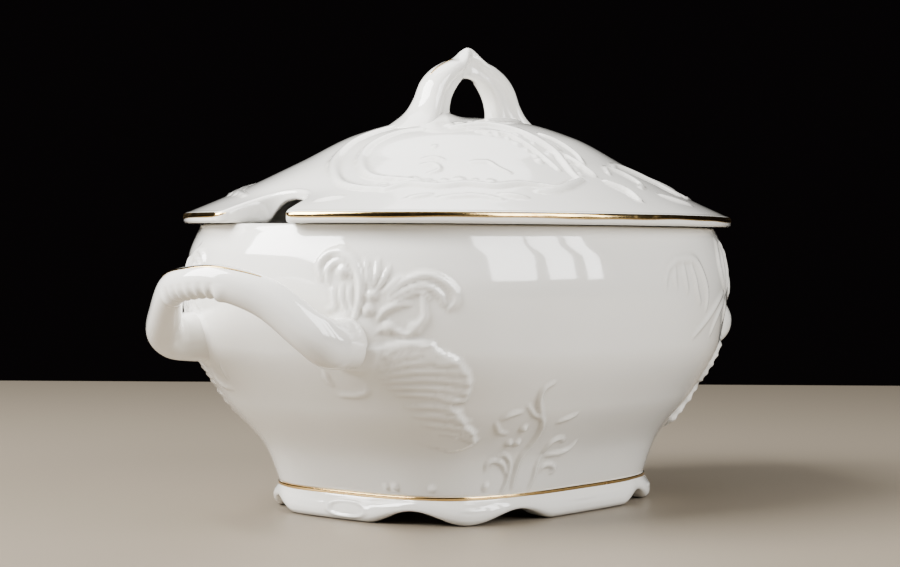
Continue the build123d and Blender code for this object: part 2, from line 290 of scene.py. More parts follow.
class Graph:  # the nodes of one material
    def __init__(self, name):
        self.material = bpy.data.materials.new(name)
        self.material.use_nodes = True
        self.tree = self.material.node_tree
        self.tree.nodes.clear()

    def node(self, kind, settings=None, sockets=None):
        made = self.tree.nodes.new(kind)
        for key, value in (settings or {}).items():
            setattr(made, key, value)
        for key, value in (sockets or {}).items():
            if isinstance(value, Wire):
                self.tree.links.new(value.socket, made.inputs[key])
            else:
                made.inputs[key].default_value = value
        return made

    def out(self, kind, settings=None, sockets=None, socket=0):
        return Wire(self, self.node(kind, settings, sockets).outputs[socket])

    def noise(self, scale, detail=2.0, roughness=0.5):
        place = self.out("ShaderNodeTexCoord", socket="Object")
        settings = {"Vector": place, "Scale": scale, "Detail": detail, "Roughness": roughness}
        return self.out("ShaderNodeTexNoise", {"noise_dimensions": "3D"}, settings)

    def blendColour(self, factor, first, second):
        node = self.node("ShaderNodeMix", {"data_type": "RGBA"}, {0: factor, 6: first, 7: second})
        return Wire(self, node.outputs[2])

    def bump(self, height, distance):
        return self.out("ShaderNodeBump", None, {"Height": height, "Strength": 1.0, "Distance": distance})

    def finish(self, sockets):
        surface = self.out("ShaderNodeBsdfPrincipled", None, sockets)
        self.node("ShaderNodeOutputMaterial", None, {"Surface": surface})
        return self.material


glaze = {
    "thin": (0.83, 0.81, 0.76, 1),  # over the relief's crests
    "pooledShaded": (0.72, 0.695, 0.635, 1),  # pooled glaze beside them, darkened further as painted shade in those creases
    "roughness": 0.09,
    "unevenness": 0.05,  # of its roughness
    "waviness": 0.0003,
    "refraction": 1.6,
    "coatRoughness": 0.03,
}
burnish = {
    "bright": (0.90, 0.63, 0.27, 1),
    "worn": (0.62, 0.38, 0.13, 1),
    "roughness": 0.15,
    "wear": 0.16,
    "waviness": 0.00004,
}


def glazedPorcelain():
    g = Graph("glazedPorcelain")
    cloud = g.noise(14.0, 3.0)
    fleck = g.noise(160.0, 2.0)
    poolAndShade = g.out("ShaderNodeAttribute", {"attribute_name": "poolAndShade"}, socket="Fac")
    # darker and warmer in the creases beside the relief: partly pooled glaze, partly painted shade; the cloud
    # adds tone that differs at random
    toneAndShade = poolAndShade * 0.75 + cloud * 0.35
    waves = g.noise(30.0, 1.5) * 1.6 + g.noise(420.0, 1.0) * 0.04
    return g.finish(
        {
            "Base Color": g.blendColour(toneAndShade, glaze["thin"], glaze["pooledShaded"]),
            "Roughness": glaze["roughness"] + (fleck - 0.5 + poolAndShade) * glaze["unevenness"],
            "Normal": g.bump(waves, glaze["waviness"]),
            "IOR": glaze["refraction"],
            "Coat Weight": 1.0,
            "Coat Roughness": glaze["coatRoughness"],
        }
    )


def burnishedGold():
    g = Graph("burnishedGold")
    rubbed = g.out(
        "ShaderNodeMapRange",
        {"interpolation_type": "SMOOTHSTEP"},
        {"Value": g.noise(120.0, 3.0), "From Min": 0.5, "From Max": 0.8},
    )
    return g.finish(
        {
            "Base Color": g.blendColour(rubbed, burnish["bright"], burnish["worn"]),
            "Metallic": 1.0,
            "Roughness": burnish["roughness"] + rubbed * burnish["wear"],
            "Normal": g.bump(g.noise(150.0, 1.0), burnish["waviness"]),
        }
    )


def setPoolAndShade(piece, values=()):  # how deep the glaze lies at each point; the material also paints shade into these creases with it
    layer = piece.data.attributes.new("poolAndShade", "FLOAT", "POINT")
    full = np.zeros(len(piece.data.vertices), np.float32)
    full[: len(values)] = values
    layer.data.foreach_set("value", full)


def poolAndShadeBeside(lift, reach=3):  # 1 in the creases beside raised strokes, 0 on open ground and on crests: where pooled glaze and painted shade go
    spread = lift.copy()
    for _ in range(reach):
        spread = (
            np.roll(spread, 1, axis=1) + np.roll(spread, -1, axis=1) + 2 * spread
            + np.vstack([spread[:1], spread[:-1]]) + np.vstack([spread[1:], spread[-1:]])
        ) / 6
    return np.clip((spread - lift) * 5.0, 0, 1)


materials = {"porcelain": glazedPorcelain(), "gold": burnishedGold()}
print("materials ready")

bowl = {
    "levels": [0, 14.5, 35.5, 58.5, 82.5, 94.5, 101.5, 106.5],  # heights above the underside of the bowl
    "swell": [0.599, 0.6745, 0.841, 0.965, 1.0, 0.9886, 0.968, 0.947],  # share of the belly's length there
    "ovalness": 2.12,
    "footSquareness": 1.28,
    "squareFade": 20.0,
    "wall": 4.4,
    "floor": 5.5,
    "rimRound": 2.0,
    "narrowFrom": 94.0,  # the height from which the sides draw in a little more than the ends
    "narrowing": 0.006,
    "floorRound": 6.0,
    "columns": 720,
    "outerRows": 108,
}
bowlBottom, bowlRim = bowlLow[2], bowlHigh[2]
bellyLength, bellyWidth = bowlHigh[0], bowlHigh[1]


def bowlSize(z):  # half length, half width and squareness of the bowl's plan at a height
    swell = smoothValue(z - bowlBottom, bowl["levels"], bowl["swell"])
    power = bowl["ovalness"] + bowl["footSquareness"] * np.exp(-(z - bowlBottom) / bowl["squareFade"])
    drawnIn = bowl["narrowing"] * ease((z - bowl["narrowFrom"]) / (bowlRim - bowl["narrowFrom"]))
    return bellyLength * swell, bellyWidth * swell * (1 - drawnIn), power


def onBowl(around, z, end, side):  # around is in degrees from the nearest end of the bowl, 90 at its middle
    turn = np.radians(np.asarray(around, float))
    z = np.asarray(z, float)
    x, y = oval(turn, *bowlSize(z))
    return np.stack([end * x, side * y, z], axis=-1)


# Strokes of the relief: half width, height, and the line as (degrees from the end, height above the table).
scrollwork = [
    (2.3, 1.9, [(18.7, 97.6), (18, 102.4), (19.4, 106), (21.8, 107.2), (24.2, 105.3), (25.9, 102), (26.9, 97),
                (27, 92.5), (26.5, 87.5), (25.8, 83.4)]),
    (1.6, 1.4, [(20.2, 96.2), (20, 100.5), (21.4, 103.6), (23.6, 103.9), (25.2, 101.5), (24.9, 98.4)]),
    (1.2, 0.9, [(21.6, 107), (22.4, 109), (23.8, 107.4)]),
    (1.5, 1.2, [(21.2, 94.5), (21.5, 87.6), (19.5, 85.2)]),
    (1.4, 1.2, [(23.1, 95.1), (23.3, 88.7), (24.3, 84.5)]),
    (1.4, 1.1, [(24.7, 95.1), (24.9, 89.3), (25.3, 84.8)]),
    (1.3, 1.3, [(28.5, 94.1), (28.3, 99.9), (27.7, 104.7)]),
    (1.3, 1.3, [(29.3, 94.6), (30.2, 99.9), (30.3, 104.7)]),
    (1.3, 1.2, [(30.4, 94.1), (31.9, 98.9), (32.5, 102.3)]),
    (1.2, 1.1, [(31.5, 92.6), (33.3, 96.3), (35.3, 99.2)]),
    (2.1, 1.6, [(32.5, 92), (34.7, 95.8), (37.1, 98), (39.5, 99), (41.7, 97.8), (43.7, 95.3), (44.9, 92.1),
                (45, 88.9), (43.7, 86.5)]),
    (1.7, 1.4, [(32.5, 89.9), (35.2, 93.1), (38.1, 95.1), (40.5, 94.2), (42.3, 91), (42.9, 87.8)]),
    (1.4, 1.1, [(33, 88.6), (35.8, 91.4), (38.7, 93), (40.3, 90.2)]),
    (1.8, 1.3, [(30.3, 82.7), (31.9, 86.1), (34.4, 88), (36.5, 88.5)]),
    (2.0, 1.5, [(30, 78.1), (32.3, 79.7), (34.2, 78), (35.8, 76.9), (37.5, 79.6), (39.2, 83.6), (39.1, 87.8),
                (38.7, 91.6)]),
    (1.6, 0.7, [(17, 62.5), (17.4, 58.6), (18.3, 57.2)]),
    (1.8, 0.75, [(18.9, 53), (23, 53.2), (25.7, 54.6), (26, 57)]),
]
shell = {
    "frill": [(30, 73), (34.5, 75.5), (38.5, 75.3), (41, 74), (42.6, 70.6), (45, 69.2), (46.8, 65.8),
              (48.2, 61), (48.3, 57), (47.2, 50.8), (44.5, 50), (46.5, 46), (47.5, 42.6), (49.4, 39),
              (50, 34.5)],
    "back": [(44, 30), (34, 34), (24, 46), (20, 60), (24, 72)],  # where it has sunk back into the wall
    "height": 1.7,
    "edge": 1.5,  # width of the slope at the frilled edge
    "fade": 24.0,  # how far behind the frilled edge it dies out
    # each rib's start near the handle and its end at the frilled edge
    "ribs": [((31, 69), (41.2, 73.6)), ((30.5, 66.5), (43.6, 70.2)), ((30, 64), (46, 66.6)),
             ((29.5, 61.5), (47.7, 62.6)), ((30, 59), (48.2, 58.6)), ((31, 56.5), (47.7, 54.8)),
             ((32.5, 54), (46.4, 51.4)), ((34, 49), (46.2, 47.2)), ((35.5, 45.5), (48, 42.8)),
             ((37.5, 42), (49.6, 38.2)), ((41, 38.5), (50, 34.8))],
    "ribArch": 1.2,
    "ribHalfWidth": 1.9,
    "ribHeight": 0.95,
}
for (startDegrees, startZ), (endDegrees, endZ) in shell["ribs"]:
    ribMiddle = ((startDegrees + endDegrees) / 2, (startZ + endZ) / 2 + shell["ribArch"])
    rib = [(startDegrees, startZ), ribMiddle, (endDegrees, endZ)]
    scrollwork.append((shell["ribHalfWidth"], shell["ribHeight"], rib))
# Round drops: radius, height, and the middle.
scrollDots = [
    (2.8, 1.9, (23.3, 100.4)),
    (2.6, 1.6, (29.2, 91.5)),
    (2.6, 1.4, (28.5, 86.2)),
    (3.0, 1.4, (32.3, 79.7)),
    (3.0, 1.4, (37.3, 79.5)),
]
bouquet = [
    (1.3, 1.2, [(57.6, 12.5), (58.8, 16.5), (59.4, 21.8), (59, 26), (57.4, 28.2), (55.9, 27.6)]),
    (1.2, 1.1, [(52.6, 22.4), (53, 25), (55.2, 25.9), (57.4, 24), (58.6, 20)]),
    (1.5, 1.4, [(61, 14), (61.5, 20.9), (62.2, 26.5), (63.9, 30.5), (65.5, 35.2), (66, 39.4), (65.1, 43),
                (62.9, 44.8), (61, 48.3)]),
    (1.7, 1.3, [(65.5, 42), (63.5, 49.8), (63.8, 55), (66, 57.5)]),
    (1.2, 1.0, [(67, 12.5), (68.1, 17.9), (68.2, 22.9), (69, 27)]),
    (1.6, 1.2, [(69, 28), (70.7, 32.4), (73, 33.8), (75.2, 32.4)]),
    (1.4, 1.1, [(70.6, 26.8), (75.6, 27.4), (78.3, 28.6), (80, 31.5)]),
    (1.2, 1.1, [(70.2, 20.2), (70.8, 22.2), (73.3, 22.4), (75.8, 20.2), (74, 18.8)]),
    (1.4, 1.0, [(70, 41), (72.3, 42.2), (75, 43.8)]),
    (1.4, 1.1, [(54.1, 41.9), (54.9, 38.4), (57, 37.2)]),
    (1.5, 1.1, [(55.2, 43.3), (57.4, 45.3), (59.8, 46)]),
]
bouquetDots = [
    (1.9, 1.5, (61.1, 39.1)),
    (1.8, 1.4, (58.1, 33.2)),
    (1.8, 1.4, (60.3, 33.2)),
    (1.6, 1.1, (52.7, 15.4)),
    (1.7, 0.9, (37.5, 15.0)),
    (2.0, 0.8, (25.5, 15.2)),
    (1.6, 0.7, (22.0, 15.0)),
]
hookedLeaves = [
    (2.4, 1.0, [(87, 101), (84, 104.2), (80, 105), (76, 103.8), (73.3, 97), (71.6, 90.5), (71.2, 84)]),
    (2.1, 0.8, [(78.5, 103), (77.4, 97), (76.4, 91.5), (74.5, 86.5)]),
    (2.1, 0.7, [(81.5, 103), (81.2, 97), (80.2, 91.5)]),
    (2.0, 0.6, [(84.5, 102), (84.9, 97), (84.3, 93)]),
    (1.8, 0.5, [(87, 100), (88, 96.5), (88, 93)]),
    (1.7, 1.0, [(60, 112.5), (62.8, 106.4), (62.8, 100.5), (60.8, 95), (57.5, 90)]),
    (1.5, 0.8, [(57.4, 110), (58.7, 104.5), (58.6, 99), (57.6, 94)]),
    (1.6, 1.0, [(55, 112), (54.2, 105.6), (54.4, 99), (55.8, 92)]),
    (2.2, 1.0, [(75, 73), (70.5, 79), (65, 86), (60.5, 90.5)]),
    (2.0, 0.8, [(66, 73), (64.8, 77.5), (62.4, 82.5), (58.8, 87)]),
    (1.8, 0.7, [(56, 78), (56.6, 82), (56.8, 86.5)]),
]
reliefGroups = [  # strokes, drops, and the corners of the bowl they stand at, as signs of X and Y
    (scrollwork, scrollDots, [(1, 1), (-1, 1), (-1, -1), (1, -1)]),
    (bouquet, bouquetDots, [(-1, -1), (1, 1)]),
    (hookedLeaves, [], [(1, -1), (-1, 1)]),
]


def bowlStroke(line, end, side):
    path = evenly(smoothPath(line), 8 * len(line))
    return onBowl(path[:, 0], path[:, 1], end, side)


def bowlLift(points, turnDegrees):  # how far the relief stands up at each point of the bowl's outside
    lift = np.zeros(len(points))
    for strokes, dots, corners in reliefGroups:
        for end, side in corners:
            for halfWidth, height, line in strokes:
                path = bowlStroke(line, end, side)
                lift = np.maximum(lift, strokeHeight(points, path, halfWidth, height))
            for radius, height, centre in dots:
                lift = np.maximum(lift, dotHeight(points, onBowl(*centre, end, side), radius, height))
    frill = evenly(smoothPath(shell["frill"], 6), 80)
    within = insideOutline(turnDegrees, points[:, 2], np.vstack([frill, shell["back"]]))
    depth = nearestOn(np.abs(points)[within], onBowl(frill[:, 0], frill[:, 1], 1, 1))[0]
    fan = np.zeros(len(points))
    fading = np.clip(1 - depth / shell["fade"], 0, 1) ** 1.5
    fan[within] = shell["height"] * ease(depth / shell["edge"]) * fading
    return lift + np.where(lift > fan * 0.5, fan * 0.6, fan)


handle = {
    # half of its middle line, from the grip to the root: in from the tip, across, below the bowl's rim
    "line": [(6.3, 0, 22.4), (9.1, 13.4, 23.8), (18.7, 27.2, 31.4), (28.3, 38.2, 40.6), (35.9, 41.2, 44.4),
             (43.9, 40.4, 44.6), (55.9, 37, 44.6)],
    "thick": [4.9, 5.4, 7.0, 7.8, 7.9, 8.0, 8.4],  # half sizes of the section along that line
    "tall": [6.3, 6.6, 7.4, 7.9, 9.1, 9.7, 10.2],
    "slimmer": [1, 0.96, 0.9, 0.9, 0.95, 1, 1],  # the same on its anticlockwise side, as a share of those
    "tilt": 0.12,  # how much higher the grip stands at its clockwise side
    "tilted": [1, 1, 1, 0.2, 0, 0, 0],  # share of that tilt along the line
    "squareness": 2.15,
    "rootPoint": 5,  # the point of the line that goes through the wall
    "fillet": 3.0,
    "filletHeight": 1.3,
    "buried": 1.6,  # how deep its ends go into the wall
    "ridgeBearing": 62,  # degrees round the section
    "ridgeHeight": 0.7,
    "ridgeFrom": 16.0,  # across from the middle of the grip
    "ridgeTo": 49.9,  # in from the tip
    "fluteBearing": 300,
    "flutes": 6,
    "fluteSpacing": 4.2,
    "beadHeight": 0.6,  # of the beads that end the flutes
    "goldBearing": 58,
    "goldReach": 24,
    "goldHalfWidth": 0.62,
}


def handleLine():  # the same line in the frame, at the end towards +X
    line = np.array(handle["line"], float)
    return np.column_stack([handleHigh[0] - line[:, 0], line[:, 1], bowlRim - line[:, 2]])


def roundTurn(count):
    return np.linspace(0, 2 * math.pi, count, endpoint=False)


def bowlRows():  # heights of the outer rows, evenly spaced up the wall
    z = np.linspace(bowlBottom, bowlRim - bowl["rimRound"], 600)
    along = lengthAlong(np.column_stack([z, bowlSize(z)[0]]))
    return np.interp(np.linspace(0, along[-1], bowl["outerRows"]), along, z)


def weldAtHandles(points):  # soft glaze-filled join where the handles meet the wall
    rootX, rootY, rootZ = handleLine()[handle["rootPoint"]]
    thick, tall = handle["thick"][handle["rootPoint"]], handle["tall"][handle["rootPoint"]]
    away = np.hypot((np.abs(points[:, 1]) - rootY) / (thick + 0.5), (points[:, 2] - rootZ) / (tall + 0.5))
    spread = np.maximum((away - 1) * thick, 0)
    weld = handle["filletHeight"] * np.clip(1 - spread / handle["fillet"], 0, 1) ** 2.4
    return weld * (np.abs(points[:, 0]) > rootX * 0.6)


def makeBowl():
    turn = evenTurns(bowl["columns"], bellyLength, bellyWidth, bowl["ovalness"])
    wall, rimRound, floorRound = bowl["wall"], bowl["rimRound"], bowl["floorRound"]

    def ring(z, length, width, power):
        return np.stack([*oval(turn, length, width, power), np.full(len(turn), z)], axis=1)

    outside = np.stack([ring(z, *bowlSize(z)) for z in bowlRows()])
    turnDegrees = np.degrees(np.arctan2(np.abs(np.sin(turn)), np.abs(np.cos(turn))))
    flat = outside.reshape(-1, 3)
    lift = bowlLift(flat, np.tile(turnDegrees, len(outside))).reshape(outside.shape[:2])
    # creases beside the relief, which the material darkens with pooled glaze and painted shade
    poolAndShade = poolAndShadeBeside(lift)
    lift = lift + weldAtHandles(flat).reshape(lift.shape)
    outside = outside + gridNormals(outside) * lift[:, :, None]

    length, width, power = bowlSize(bowlRim - rimRound)
    rim = []
    for swing in np.linspace(0, math.pi, 9)[1:]:
        inward = wall / 2 * (1 - math.cos(swing))
        rim.append(ring(bowlRim - rimRound * (1 - math.sin(swing)), length - inward, width - inward, power))
    inside = []
    floor = bowlBottom + bowl["floor"]
    for z in np.linspace(bowlRim - rimRound - 2, floor + floorRound, 15):
        length, width, power = bowlSize(z)
        lowerLength, lowerWidth, _ = bowlSize(z - 0.6 * wall)
        length = min(length - wall, lowerLength - 0.85 * wall)
        width = min(width - wall, lowerWidth - 0.85 * wall)
        inside.append(ring(z, length, width, power))
    for swing in np.linspace(0.3, 1, 4):
        shrink = 0.02 + 0.10 * swing
        z = floor + floorRound * (1 - math.sin(swing * math.pi / 2))
        inside.append(ring(z, length * (1 - shrink), width * (1 - shrink), power))
    grid = np.concatenate([outside, np.stack(rim), np.stack(inside)])
    piece = addRings("bowl", grid, "porcelain", "tureen", ((0, 0, bowlBottom), (0, 0, floor)))
    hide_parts("bowl_shell")
    setPoolAndShade(piece, poolAndShade.ravel())
    print("bowl made,", len(piece.data.polygons), "faces")


makeBowl()

foot = {
    "squareness": 3.4,
    "wall": 6.5,
    "flareHeights": [0, 0.3, 1.0, 2.3, 4.2, 6.5, 8.5, 9.8, 11.5],
    "flare": [-0.6, 0.7, 1.8, 2.7, 3.0, 2.5, 1.3, 0.4, 0.0],  # how far it stands out past the gold line there
    "arches": [(24.3, 15.2, 5.9), (56.4, 17.0, 5.5)],  # middle and half width in degrees of bearing, height
    "farArches": [(29.5, 11.0, 5.8), (50.5, 11.0, 5.4)],  # the same in the other two quarters
    "panel": (9.0, 2.7, 4.9),  # recessed panel at each end: half length, half height, height above the table
    "panelAside": 4.5,
    "panelDepth": 0.6,
    "panelBorder": 0.45,
    "dashes": [(40.5, 4.2, 6.2), (90, 12.0, 6.6)],  # bearing, half length, height above the table
    "dashRaised": 0.35,
    "dashHalfHeight": 0.9,
    "dashRadius": 66.0,  # turns their bearings into lengths
    "edgeInsets": [5.5, 3.5],  # of the rounded edge it stands on
    "topInsets": [0.5, 1.5],
    "goldOut": 0.12,
    "goldProud": 0.3,
    "columns": 640,
}
footLength, footWidth = footGoldHigh[0], footGoldHigh[1]
footTop, footGoldBottom = footHigh[2], footGoldLow[2]


def archRise(bearing, far):  # how far the foot's edge is scooped up off the table at each bearing
    rise = np.zeros(len(bearing))
    for quarter, arches in ((~far, foot["arches"]), (far, foot["farArches"])):
        for middle, half, height in arches:
            share = np.clip(np.abs(bearing - middle) / half, 0, 1)
            rise = np.maximum(rise, quarter * height * np.cos(share * math.pi / 2) ** 2)
    return rise


def footRelief(grid, bearing):  # a shallow panel with a raised border at each end, and dashes on the sides
    halfLength, halfHeight, z = foot["panel"]
    sideways = grid[:, :, 1] - foot["panelAside"] * np.sign(grid[:, :, 0])
    reach = ovalShare(sideways, grid[:, :, 2] - z, halfLength, halfHeight, 2.6)
    border = foot["panelBorder"] * np.exp(-(((reach - 1.08) / 0.16) ** 2))
    atEnds = (bearing < 22)[None, :]
    relief = atEnds * (border - foot["panelDepth"] * ease((1 - reach) / 0.2))
    for middle, half, z in foot["dashes"]:
        along = np.radians(bearing - middle)[None, :] * foot["dashRadius"]
        reach = (along / half) ** 2 + ((grid[:, :, 2] - z) / foot["dashHalfHeight"]) ** 2
        relief += foot["dashRaised"] * np.clip(1 - reach, 0, 1)
    return relief


def makeFoot():
    turn = evenTurns(foot["columns"], footLength, footWidth, foot["squareness"])
    x, y = oval(turn, footLength, footWidth, foot["squareness"])
    bearing = np.degrees(np.arctan2(np.abs(y), np.abs(x)))
    rise = archRise(bearing, x * y < 0)
    scoop = rise / max(height for _, _, height in foot["arches"])
    tangent = np.stack([np.roll(x, -1) - np.roll(x, 1), np.roll(y, -1) - np.roll(y, 1)], axis=1)
    outward = unit(np.stack([tangent[:, 1], -tangent[:, 0]], axis=1))

    def ring(out, z):
        return np.column_stack([x + outward[:, 0] * out, y + outward[:, 1] * out, np.broadcast_to(z, len(x))])

    rows = []
    for share in np.linspace(0, 1, 34) ** 1.3:
        z = rise * (1 - share) + footTop * share
        height = footTop * share
        out = smoothValue(height, foot["flareHeights"], foot["flare"])
        settle = smoothValue(z, foot["flareHeights"], foot["flare"])
        rows.append(ring(out * (1 - 0.75 * scoop) + 0.35 * settle * scoop, z))
    outer = np.stack(rows)
    outer = outer + gridNormals(outer) * footRelief(outer, bearing)[:, :, None]
    top = [ring(-inset, footTop) for inset in foot["topInsets"]]
    inner = [ring(-foot["wall"], rise + (footTop - rise) * (1 - s)) for s in np.linspace(0, 1, 8)]
    edge = [ring(-inset, rise) for inset in foot["edgeInsets"]]
    piece = addHoop("foot", np.concatenate([outer, top, inner, edge]), "porcelain", "tureen")
    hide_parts("foot_ring")
    setPoolAndShade(piece)
    path = ring(foot["goldOut"], (footTop + footGoldBottom) / 2)
    normals = np.concatenate([outward, np.zeros((len(x), 1))], axis=1)
    halfBand = (footTop - footGoldBottom) / 2
    band = addStrip("footGold", path, normals, halfBand, "tureen", closed=True, proud=foot["goldProud"])
    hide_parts("foot_gold_line")
    print("foot made")


makeFoot()


def bowlEndX(y, z):  # how far out the bowl's wall is, along X, at each point across it
    a, b, power = bowlSize(z)
    return a * np.clip(1 - (np.abs(y) / b) ** power, 0, 1) ** (1 / power)


def sweepSections(centres, sideways, upward, thick, tall, power, columns=72):  # ovals stood along a line
    u, v = oval(roundTurn(columns), 1, 1, power)
    out = sideways[:, None, :] * (thick[:, None] * u)[:, :, None]
    return centres[:, None, :] + out + upward[:, None, :] * (tall[:, None] * v)[:, :, None]


def handleRelief(around, along, toRoot):  # a ridge that runs to the root, and flutes under the grip
    ridge = np.exp(-(((around - math.radians(handle["ridgeBearing"])) / 0.32) ** 2))[None, :]
    under = np.exp(-(((around - math.radians(handle["fluteBearing"])) / 0.75) ** 2))[None, :]
    flutedHalf = handle["flutes"] / 2 * handle["fluteSpacing"]
    flutes = np.cos(2 * math.pi * along / handle["fluteSpacing"]) * 0.5 - 0.5
    fluted = flutes * ease((flutedHalf - np.abs(along)) / 1.5)
    bead = handle["beadHeight"] * np.exp(-(((np.abs(along) - flutedHalf - 1) / 2) ** 2))
    return handle["ridgeHeight"] * ridge * toRoot[:, None] + under * (fluted + bead)[:, None]


def makeHandle(end, name, cadName, goldName, cadGold):
    half = np.column_stack([handleLine(), handle["thick"], handle["tall"]])
    mirrored = half[:0:-1] * (1, -1, 1, 1, 1)
    mirrored[:, 3:] *= np.array(handle["slimmer"])[:0:-1, None]
    tilt = np.array(handle["tilted"]) * handle["tilt"]
    half[:, 2] += tilt * half[:, 1]
    mirrored[:, 2] += tilt[:0:-1] * mirrored[:, 1]
    route = evenly(smoothPath(np.vstack([mirrored, half]), 24), 241)
    centres = route[:, :3]
    tangent = unit(np.gradient(centres, axis=0))
    sideways = unit(np.cross(tangent, (0, 0, 1)))
    upward = np.cross(sideways, tangent)
    section = sweepSections(centres, sideways, upward, route[:, 3], route[:, 4], handle["squareness"])
    around = roundTurn(section.shape[1])
    along = lengthAlong(centres)
    across = np.abs(centres[:, 1])
    fromEnd = centres[:, 0] - handleHigh[0] + handle["ridgeTo"]
    toRoot = ease((across - handle["ridgeFrom"]) / 14) * ease(fromEnd / 12)
    lift = handleRelief(around, along - along[-1] / 2, toRoot)
    section = section + gridNormalsFacing(section, centres) * lift[:, :, None]
    wallX = bowlEndX(section[:, :, 1], section[:, :, 2])
    section[:, :, 0] = np.maximum(section[:, :, 0], wallX - handle["buried"])
    normals = gridNormalsFacing(section, centres)
    crest = int(round(handle["goldBearing"] / 360 * len(around)))
    gilded = across < handle["goldReach"]
    turned = np.array([end, end, 1])
    section = section * turned
    piece = addRings(name, section, "porcelain", "tureen")
    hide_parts(cadName)
    setPoolAndShade(piece)
    path, facing = section[gilded, crest], normals[gilded, crest] * turned
    line = addStrip(goldName, path, facing, handle["goldHalfWidth"] * brushTaper(len(path), 0.35), "tureen")
    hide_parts(cadGold)


def brushTaper(count, power):  # a brushed line's width along it, drawn out thin at both ends
    return 0.25 + 0.75 * np.sin(np.linspace(0.02, math.pi - 0.02, count)) ** power


def gridNormalsFacing(grid, centres):  # unit normals of a tube of sections, turned away from its middle line
    normals = gridNormals(grid)
    outward = np.sum(normals * (grid - centres[:, None, :]), axis=(1, 2))
    return normals * np.where(outward < 0, -1, 1)[:, None, None]


makeHandle(1, "rightHandle", "right_handle", "rightHandleGold", "right_handle_gold_line")
makeHandle(-1, "leftHandle", "left_handle", "leftHandleGold", "left_handle_gold_line")
print("handles made")

lid = {
    "shares": [0, 0.2, 0.4, 0.6, 0.8, 1.0],  # of the way from the crown to the rim
    "heights": [46.3, 44.4, 38.0, 26.0, 14.3, 3.9],  # above the seat
    "ovalness": 2.12,
    "wall": 4.4,
    "rimRound": 1.9,
    "seatRound": 1.3,
    "flangeThickness": 4.5,
    "columns": 640,
    "meet": 0.66,  # share where the round rows give way to the notched ones
    "meetHalf": 24.0,  # half width of the notch's share of the columns where they meet
    # half of the notch's outline: in from the tip of the rim, across
    "notch": [(1.8, 20.5), (2.4, 17.6), (4.6, 15.6), (10, 14.2), (17, 12.6), (22, 9.8), (24.8, 5.5),
              (25.8, 0)],
    "notchShare": 0.062,  # of the round rows' points that turn into half of the notch
    "notchDip": 1.4,
    "notchFade": 11.0,
    "thinFrom": 20.8,  # in from the tip: past here the notch's edge is only as thick as the lid
    "reliefScale": 1.25,
    "goldFrom": 1.35,  # where the gold starts, round the rim from its top edge
    "goldSpread": 1.45,  # its width, as a share of the flat line's
}
lidLength, lidWidth, lidSeat = lidGoldHigh[0], lidGoldHigh[1], lidLow[2]


def notchLine(count):  # half of the notch's outline, from the rim to its inner end
    return evenly(smoothPath(np.array(lid["notch"]) - (lidHigh[0], 0), 16), count)


def notchGap(x, y):  # distance from the notch's outline
    return nearestOn(np.stack([x, np.abs(y)], axis=1), notchLine(40))[0]


def lidHeight(x, y):  # height of the lid's outer surface
    share = ovalShare(x, y, lidLength, lidWidth, lid["ovalness"])
    z = lidSeat + smoothValue(share, lid["shares"], lid["heights"], flatStart=True)
    depth = ease((x + lidLength - 4) / 24)
    close = np.exp(-((notchGap(x.ravel(), y.ravel()).reshape(x.shape) / lid["notchFade"]) ** 1.6))
    near = (x < -lidLength * 0.6) & (np.abs(y) < 50)
    return z - np.where(near, lid["notchDip"] * depth * close, 0)


def onLid(x, y):
    x, y = np.asarray(x, float), np.asarray(y, float)
    return np.stack([x, y, lidHeight(x, y)], axis=-1)


